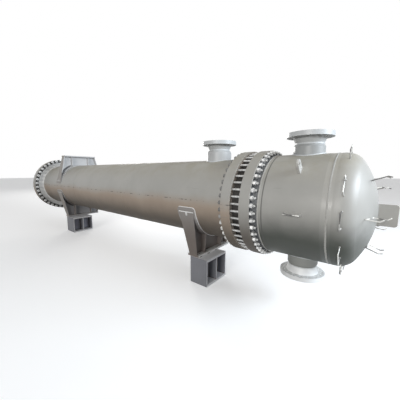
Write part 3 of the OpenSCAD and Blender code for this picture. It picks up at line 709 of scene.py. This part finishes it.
def nut(joint):
    """Hexagon nut, its seat at z = 0, corners taken off, a turned land round the thread."""
    nothing_selected()
    height = joint.nut_height
    bpy.ops.mesh.primitive_cylinder_add(
        vertices=6, radius=joint.nut_width / math.sqrt(3), depth=height,
        location=(0, 0, height / 2))
    piece = named("nut")
    set_place(piece)
    mesh = edit(piece, "VERT")
    for vert in mesh.verts:
        vert.select_set(vert.co.z > height / 2)
    bpy.ops.mesh.bevel(offset=NUT_CORNER * joint.nut_width, segments=2, affect="VERTICES")
    mesh = bmesh.from_edit_mesh(piece.data)
    bpy.ops.mesh.select_mode(type="FACE")
    bpy.ops.mesh.select_all(action="DESELECT")
    for face in mesh.faces:
        face.select_set(face.normal.z > 0.99 and face.calc_center_median().z > height * 0.9)
    bpy.ops.mesh.inset(thickness=NUT_LAND * joint.nut_width)
    bpy.ops.mesh.extrude_region_move(TRANSFORM_OT_translate={"value": (0, 0, -NUT_DISH)})
    done_editing(piece)
    return piece


def stud_end(joint, out):
    """Threaded end of a stud above its nut, rounded off at the tip."""
    r = joint.stud_d / 2
    pitch = out / (THREAD_RIDGES + 1)
    rings = [(r - THREAD_DEPTH, 0)]
    for i in range(THREAD_RIDGES):
        rings.append((r, (i + 0.35) * pitch))
        rings.append((r - THREAD_DEPTH, (i + 0.85) * pitch))
    rings.append((r - THREAD_DEPTH, out - pitch * 0.5))
    rings.append((r - 2 * THREAD_DEPTH, out))
    return turned("stud_end", rings, 14)


def on_bolt_circle(joint, x, angle, outwards):
    """Stands a piece on the girth bolt circle, its +Z along +X or -X."""
    flip = Matrix.Rotation(0 if outwards > 0 else math.pi, 4, "X")
    turn = Matrix.Rotation(rng.uniform(0, math.pi / 3), 4, "Z")
    ring = Matrix.Translation((0, 0, axis_z)) @ Matrix.Rotation(angle, 4, "X")
    arm = Matrix.Translation((x, 0, joint.circle / 2)) @ Matrix.Rotation(math.radians(90), 4, "Y")
    return ring @ arm @ flip @ turn


def girth_joint(name, joint, low_face, high_face):
    """Studs through two girth flanges, given their gasket faces, with a nut on each outer face."""
    low_x, high_x = low_face - joint.flange, high_face + joint.flange
    angles = [(i + 0.5) * 2 * math.pi / joint.studs for i in range(joint.studs)]
    length = high_x - low_x
    r = joint.stud_d / 2 - THREAD_DEPTH / 2
    shank = turned("shank", [(r, z) for z in steps(0, length, 4)], 16)
    studs = [copied(shank, [on_bolt_circle(joint, low_x, angle, 1) for angle in angles], "shanks")]
    ends = (("front", high_x, 1, joint.front_out, BOLTING),
            ("back", low_x, -1, joint.back_out, BACK_BOLTING))
    for end, x, outwards, out, finish in ends:
        seats = [on_bolt_circle(joint, x, angle, outwards) for angle in angles]
        dress(copied(nut(joint), seats, f"{name}_{end}_nuts"), finish, 30)
        tips = [seat @ Matrix.Translation((0, 0, joint.nut_height)) for seat in seats]
        studs.append(copied(stud_end(joint, out), tips, "ends"))
    dress(joined(studs, name + "_studs"), STUD_STEEL, 40)


def bolt_up():
    girth_joint("front_joint", FRONT_JOINT,
                span("shell_front_flange", 0)[1], span("channel_flange", 0)[0])
    girth_joint("rear_joint", REAR_JOINT,
                span("cover_flange", 0)[1], span("shell_rear_flange", 0)[0])


# Welds

def bead(points, radius=FILLET_BEAD, closed=False):
    """Round bead along a run of points."""
    nothing_selected()
    curve = bpy.data.curves.new("bead", "CURVE")
    curve.dimensions = "3D"
    curve.bevel_depth = radius
    curve.bevel_resolution = 2
    curve.use_fill_caps = True
    run = curve.splines.new("POLY")
    run.points.add(len(points) - 1)
    for spot, point in zip(run.points, points):
        spot.co = (*point, 1)
    run.use_cyclic_u = closed
    piece = bpy.data.objects.new("bead", curve)
    bpy.context.scene.collection.objects.link(piece)
    select_only(piece)
    bpy.ops.object.convert(target="MESH")
    return bpy.context.active_object


def ring_bead(x, r, proud=SEAM_PROUD):
    """Round seam on a barrel: a low bead that wanders a little."""
    phase = rng.uniform(0, math.pi)
    points = []
    for i in range(240):
        angle = i * math.pi / 120
        wander = SEAM_WANDER * (math.sin(17 * angle + phase) + 0.625 * math.sin(71 * angle))
        points.append(round_axis(x + wander, r + proud - SEAM_BEAD, angle))
    return bead(points, SEAM_BEAD, closed=True)


def long_bead(low_x, high_x, r, angle):
    """Seam along a barrel."""
    line = [round_axis(x, r + SEAM_PROUD - SEAM_BEAD, angle) for x in steps(low_x, high_x, 40)]
    return bead(line, SEAM_BEAD)


def barrel_seams():
    """The shell's beads carry its own paint, with its painted floor reflection and painted shade,
    and the channel's are paler.
    """
    low, high = span("shell", 0)
    course = (high - low) / SHELL_COURSES
    beads = [ring_bead(span("cover_head", 0)[1], cover_r)]
    for i, x in enumerate(steps(low, high, SHELL_COURSES + 1)):
        beads.append(ring_bead(x, shell_r))
        if i < SHELL_COURSES:
            angle = LONG_SEAM_ANGLE if i % 2 else -LONG_SEAM_ANGLE
            beads.append(long_bead(x, x + course, shell_r, angle))
    dress(joined(beads, "shell_seams"), SLOT_FINISH["shell_paint"])
    low, high = span("channel_barrel", 0)
    beads = [ring_bead(low, channel_r), ring_bead(high, channel_r)]
    beads.append(long_bead(low, high, channel_r, -2 * LONG_SEAM_ANGLE))
    dress(joined(beads, "channel_seams"), SHELL_WELD)


def neck_bead(name, body_r, up):
    """Fillet where a nozzle neck leaves a barrel: it follows the two cylinders' crossing."""
    low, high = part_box(name + "_neck")
    neck_r = (high.x - low.x) / 2 + 0.2 * NOZZLE_BEAD
    points = []
    for i in range(160):
        angle = i * math.pi / 80
        y = neck_r * math.sin(angle)
        rise = math.sqrt(body_r ** 2 - y ** 2) * (1 if up else -1)
        points.append(Vector(((low.x + high.x) / 2 + neck_r * math.cos(angle), y, axis_z + rise)))
    return bead(points, NOZZLE_BEAD, closed=True)


def pipe_bead(name, up):
    """Round seam between a neck and its flange."""
    x = middle(name + "_neck").x
    z = span(name + "_flange", 2)[0 if up else 1]
    r = NOZZLE_PIPE_R - PIPE_BEAD_SINK
    angles = [i * math.pi / 48 for i in range(96)]
    return bead([(x + r * math.cos(a), r * math.sin(a), z) for a in angles], closed=True)


def nozzle_welds():
    beads = []
    for name, body_r in (("shell", shell_r), ("channel", channel_r)):
        for way, up in (("_inlet", True), ("_outlet", False)):
            beads.append(neck_bead(name + way, body_r, up))
            beads.append(pipe_bead(name + way, up))
    dress(joined(beads, "nozzle_welds"), NOZZLE_WELD)


def plate_outline(node, down):
    """Points round a wear plate where it meets the shell; down is -1 below it and 1 above."""
    low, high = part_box(node)
    half = (high.x - low.x) / 2
    edge = min(abs(low.z - axis_z), abs(high.z - axis_z))
    r = WEAR_CORNER
    quarter = [(x, edge) for x in steps(0, half - r, 6)]
    quarter += [(half - r + r * math.sin(a), edge + r - r * math.cos(a))
                for a in steps(0.2, 1.4, 6)]
    first_angle = math.asin((edge + r) / shell_r)
    quarter += [(half, shell_r * math.sin(a)) for a in steps(first_angle, math.pi / 2, 40)]
    spots = [(x, math.sqrt(max(0, shell_r ** 2 - z ** 2)), axis_z + down * z) for x, z in quarter]
    around = [(1, -1, spots), (1, 1, spots[-2::-1]), (-1, 1, spots[1:]), (-1, -1, spots[-2:0:-1])]
    centre = (low.x + high.x) / 2
    return [Vector((centre + sx * x, sy * y, z)) for sx, sy, run in around for x, y, z in run]


def support_welds(name, wear, web, foot, down, finish):
    """Fillets that join a saddle's wear plate, web, side plates, ribs and foot plate.

    down is -1 for a saddle and 1 for the bracket, which stands on top of the shell.
    """
    beads = [bead(plate_outline(wear, down), closed=True)]
    web_low, web_high = span(web, 0)
    centre = (web_low + web_high) / 2
    seat_r = shell_r + WEAR_THK
    foot_z = span(foot, 2)[1 if down < 0 else 0]
    foot_y = span(foot, 1)[1] - 2 * RIB_THK
    reach = math.acos(SIDE_DROP / seat_r)
    foot_run = (centre - SIDE_LEN_FOOT / 2, centre + SIDE_LEN_FOOT / 2)
    top_run = (centre - SIDE_LEN_TOP / 2, centre + SIDE_LEN_TOP / 2)
    for x in (web_low, web_high):
        beads.append(bead([(x, seat_r * math.sin(a), axis_z + down * seat_r * math.cos(a))
                           for a in steps(-reach, reach, 60)]))
        beads.append(bead([(x, -foot_y, foot_z), (x, foot_y, foot_z)]))
    for rib in (-RIB_Y, RIB_Y):
        for y in (rib - RIB_THK / 2, rib + RIB_THK / 2):
            beads.append(bead([(x, y, foot_z) for x in foot_run]))
            top_z = axis_z + down * math.sqrt(seat_r ** 2 - y ** 2)
            beads.extend(bead([(x, y, foot_z), (x, y, top_z)]) for x in (web_low, web_high))
    side_y = seat_r * math.sin(reach)
    for side in (-side_y, side_y):
        z = axis_z + down * SIDE_DROP
        beads.append(bead([(x, side, z) for x in top_run]))
    dress(joined(beads, name + "_welds"), finish)


def stool_welds(name, foot):
    """Fillets inside a stool, and tacks between its cap and the saddle's foot plate."""
    low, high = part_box(name)
    centre = (low + high) / 2
    beads = []
    inner = (low.y + STOOL_WEB, high.y - STOOL_WEB)
    faces = (inner[0], centre.y - STOOL_WEB / 2, centre.y + STOOL_WEB / 2, inner[1])
    levels = (low.z + STOOL_PLATE, high.z - STOOL_PLATE)
    for out, end in ((-1, low.x), (1, high.x)):
        web_x = centre.x + out * STOOL_WEB / 2
        for y in faces:
            beads.append(bead([(web_x, y, levels[0]), (web_x, y, levels[1])]))
            edge_x = end - out * STOOL_EDGE_CLEAR
            beads.extend(bead([(web_x, y, z), (edge_x, y, z)]) for z in levels)
        beads.extend(bead([(web_x, y, z) for y in inner]) for z in levels)
    foot_low, foot_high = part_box(foot)
    for x in (foot_low.x, foot_high.x):
        if low.x < x < high.x:
            for y in steps(max(low.y, foot_low.y) + TACK, min(high.y, foot_high.y) - TACK, 3):
                beads.append(bead([(x, y - TACK / 2, high.z), (x, y + TACK / 2, high.z)]))
    dress(joined(beads, name + "_welds"), SADDLE_WELD)


def lug_welds():
    x = middle("lifting_lugs").x
    half_x, half_y = LUG_HALF
    swing = half_y / channel_r
    beads = []
    for lug in (-LUG_ANGLE, LUG_ANGLE):
        near = [round_axis(x + half_x, channel_r, lug + a) for a in steps(-swing, swing, 8)]
        far = [round_axis(x - half_x, channel_r, lug + a) for a in steps(swing, -swing, 8)]
        beads.append(bead(near + far, closed=True))
    return beads


def end_plate_welds():
    """Fillets on both faces of the flat plate, along the crown of the head."""
    crown_x = span("channel_head", 0)[1] - CROWN_R
    low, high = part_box("head_end_plate")
    beads = []
    for y in (low.y, high.y):
        beads.append(bead([
            (crown_x + math.sqrt(CROWN_R ** 2 - y ** 2 - (z - axis_z) ** 2), y, z)
            for z in steps(low.z, high.z, 12)]))
    return beads


def clip_welds():
    """A small round weld at each foot of the clips that stand on the channel and the knuckle."""
    feet = []
    x = middle("barrel_clips").x
    for foot_x in (x - CLIP_HALF, x + CLIP_HALF):
        feet.extend(round_axis(foot_x, channel_r, side) for side in (-math.pi / 2, math.pi / 2))
    r = channel_r - KNUCKLE_R + KNUCKLE_R * math.cos(KNUCKLE_CLIP_LEAN)
    x = head_weld_x + HEAD_STRAIGHT + KNUCKLE_R * math.sin(KNUCKLE_CLIP_LEAN)
    swing = math.asin(CLIP_HALF / r)
    for at in KNUCKLE_CLIP_AT:
        feet.extend(round_axis(x, r, math.radians(at) + side) for side in (-swing, swing))
    nothing_selected()
    bpy.ops.mesh.primitive_uv_sphere_add(segments=14, ring_count=8, radius=CLIP_FOOT_BEAD)
    return copied(named("foot"), [Matrix.Translation(foot) for foot in feet], "feet")


def weld_up():
    barrel_seams()
    nozzle_welds()
    support_welds("front_saddle", "front_wear_plate", "front_saddle_web", "front_base_plate",
                  down=-1, finish=EDGE_HIGHLIGHT_WELD)
    support_welds("rear_saddle", "rear_wear_plate", "rear_saddle_web", "rear_base_plate",
                  down=-1, finish=SADDLE_WELD)
    support_welds("bracket", "bracket_wear_plate", "bracket_web", "bracket_plate",
                  down=1, finish=SADDLE_WELD)
    stool_welds("front_stool", "front_base_plate")
    stool_welds("rear_stool", "rear_base_plate")
    small = lug_welds() + end_plate_welds() + [clip_welds()]
    dress(joined(small, "attachment_welds"), SHELL_WELD)


# Studio

FLOOR_SEEN = 0.80
FLOOR_BOUNCE = 0.12
FLOOR_GLOW = 0.34
FLOOR_HALF = 60.0
WORLD_LIGHT = 0.22


def seen_rays(tree):
    """1 for rays from the camera and for mirror-like and see-through ones, as a socket."""
    path = tree.nodes.new("ShaderNodeLightPath")
    either = path.outputs["Is Camera Ray"]
    for other in ("Is Glossy Ray", "Is Transmission Ray"):
        both = tree.nodes.new("ShaderNodeMath")
        both.operation = "MAXIMUM"
        tree.links.new(either, both.inputs[0])
        tree.links.new(path.outputs[other], both.inputs[1])
        either = both.outputs[0]
    return either


def floor():
    nothing_selected()
    bpy.ops.mesh.primitive_plane_add(size=2 * FLOOR_HALF, location=(0, 0, 0))
    plane = named("floor")
    finish = Finish("floor")
    grain = finish.noise(3.0, 3.0) * 0.04
    seen = Wire(finish, seen_rays(finish.tree))
    shade = finish.mix(seen, (FLOOR_BOUNCE,) * 3, (FLOOR_SEEN,) * 3)
    shade = finish.mix(grain, shade, (0, 0, 0))
    glow = finish.mix(seen, (0, 0, 0), (FLOOR_GLOW,) * 3)
    plane.data.materials.append(finish.close({
        "Base Color": shade, "Roughness": 0.7, "Emission Color": glow, "Emission Strength": 1.0}))


def world():
    """Soft grey surroundings; the camera and mirror-like rays see white."""
    scene_world = bpy.data.worlds.new("studio")
    bpy.context.scene.world = scene_world
    scene_world.use_nodes = True
    tree = scene_world.node_tree
    tree.nodes.clear()
    soft = tree.nodes.new("ShaderNodeBackground")
    soft.inputs["Color"].default_value = (0.95, 0.97, 1.0, 1)
    soft.inputs["Strength"].default_value = WORLD_LIGHT
    white = tree.nodes.new("ShaderNodeBackground")
    white.inputs["Color"].default_value = (1, 1, 1, 1)
    white.inputs["Strength"].default_value = 1.0
    blend = tree.nodes.new("ShaderNodeMixShader")
    tree.links.new(seen_rays(tree), blend.inputs["Fac"])
    tree.links.new(soft.outputs[0], blend.inputs[1])
    tree.links.new(white.outputs[0], blend.inputs[2])
    end = tree.nodes.new("ShaderNodeOutputWorld")
    tree.links.new(blend.outputs[0], end.inputs["Surface"])


def lamp(name, place, aim, size, watts, tint):
    light = bpy.data.lights.new(name, "AREA")
    light.shape = "RECTANGLE"
    light.size, light.size_y = size
    light.energy = watts
    light.color = tint
    holder = bpy.data.objects.new(name, light)
    holder.location = place
    holder.rotation_mode = "QUATERNION"
    holder.rotation_quaternion = (Vector(aim) - Vector(place)).to_track_quat("-Z", "Y")
    holder.visible_camera = False
    bpy.context.scene.collection.objects.link(holder)


def lamps():
    """A faint one overhead, and one each on the near side, at the channel's end and behind."""
    lamp("overhead", place=(0.5, -1.0, 6.5), aim=(0.5, 0, 1.0), size=(9.0, 3.0),
         watts=20, tint=(1.0, 0.98, 0.95))
    lamp("near_side", place=(5.0, -15.0, 4.9), aim=(1.5, 0, 1.1), size=(7.0, 3.0),
         watts=1300, tint=(1.0, 0.99, 0.97))
    lamp("channel_end", place=(9.4, 1.2, 4.0), aim=(3.4, 0, 1.2), size=(4.2, 2.6),
         watts=650, tint=(0.84, 0.92, 1.0))
    lamp("behind", place=(-13.0, 11.0, 3.6), aim=(-1.0, 0, 1.1), size=(6.0, 3.0),
         watts=1250, tint=(1.0, 0.99, 0.97))


def camera():
    lens = bpy.data.cameras.new("camera")
    lens.lens = CAMERA_LENS
    lens.sensor_width = 36.0
    lens.clip_end = 500.0
    eye = bpy.data.objects.new("camera", lens)
    eye.location = CAMERA_PLACE
    eye.rotation_euler = (CAMERA_PITCH, 0, CAMERA_YAW)
    bpy.context.scene.collection.objects.link(eye)
    bpy.context.scene.camera = eye


finish_solids()
camera()
floor()
world()
lamps()
bolt_up()
weld_up()

bpy.context.scene.view_settings.view_transform = "Standard"
